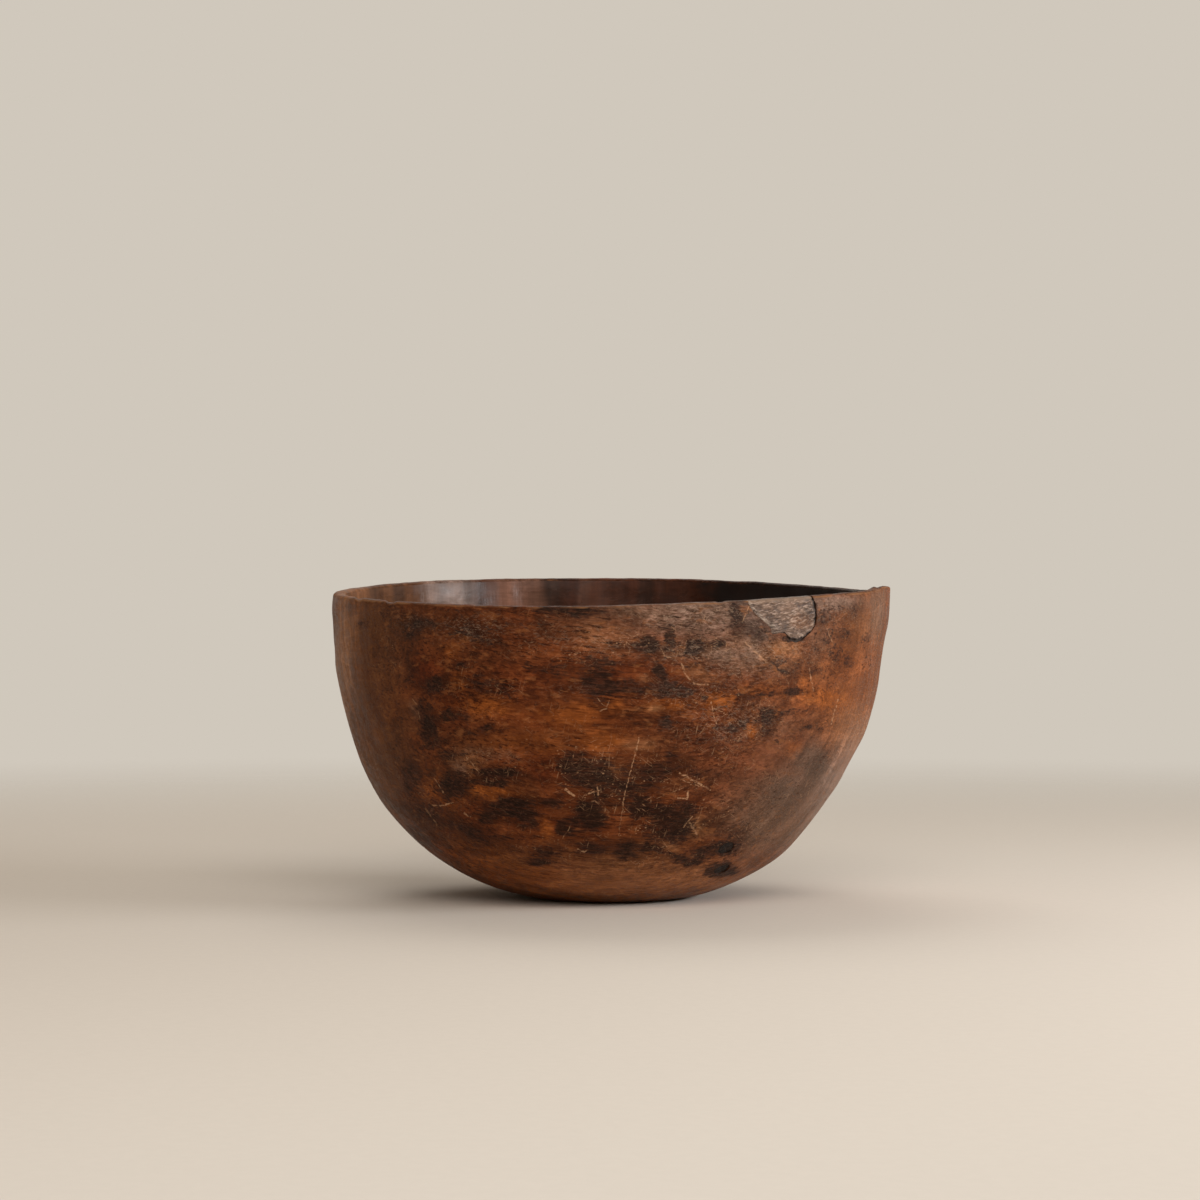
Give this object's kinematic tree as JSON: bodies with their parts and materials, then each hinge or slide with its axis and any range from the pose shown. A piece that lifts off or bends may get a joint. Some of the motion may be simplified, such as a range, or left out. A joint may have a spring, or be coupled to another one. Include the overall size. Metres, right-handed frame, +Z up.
{
  "type": "dough bowl",
  "caption": "Deep round bowl carved from a single block of wood, with a thin wavering rim, a patch let into the rim and a small worn flat to rest on.",
  "frame": {"origin": "on the worn flat that the bowl rests on, under the middle of the mouth", "axes": "+Z up out of the mouth, -Y the front of the picture, +X to the right along the grain"},
  "size_m": [0.3504, 0.3429, 0.2027],
  "materials": {
    "carved_wood": "worn satin, stained",
    "patch_wood": "dry, greyed",
    "pitch": "hardened, dull",
    "dead_knot": "dark, dull"
  },
  "bodies": {
    "root": {"bowl_body": "carved_wood", "rim_patch": "patch_wood", "seam_pitch": "pitch", "upper_knot": "dead_knot", "lower_knot": "dead_knot"}
  },
  "joints": []
}
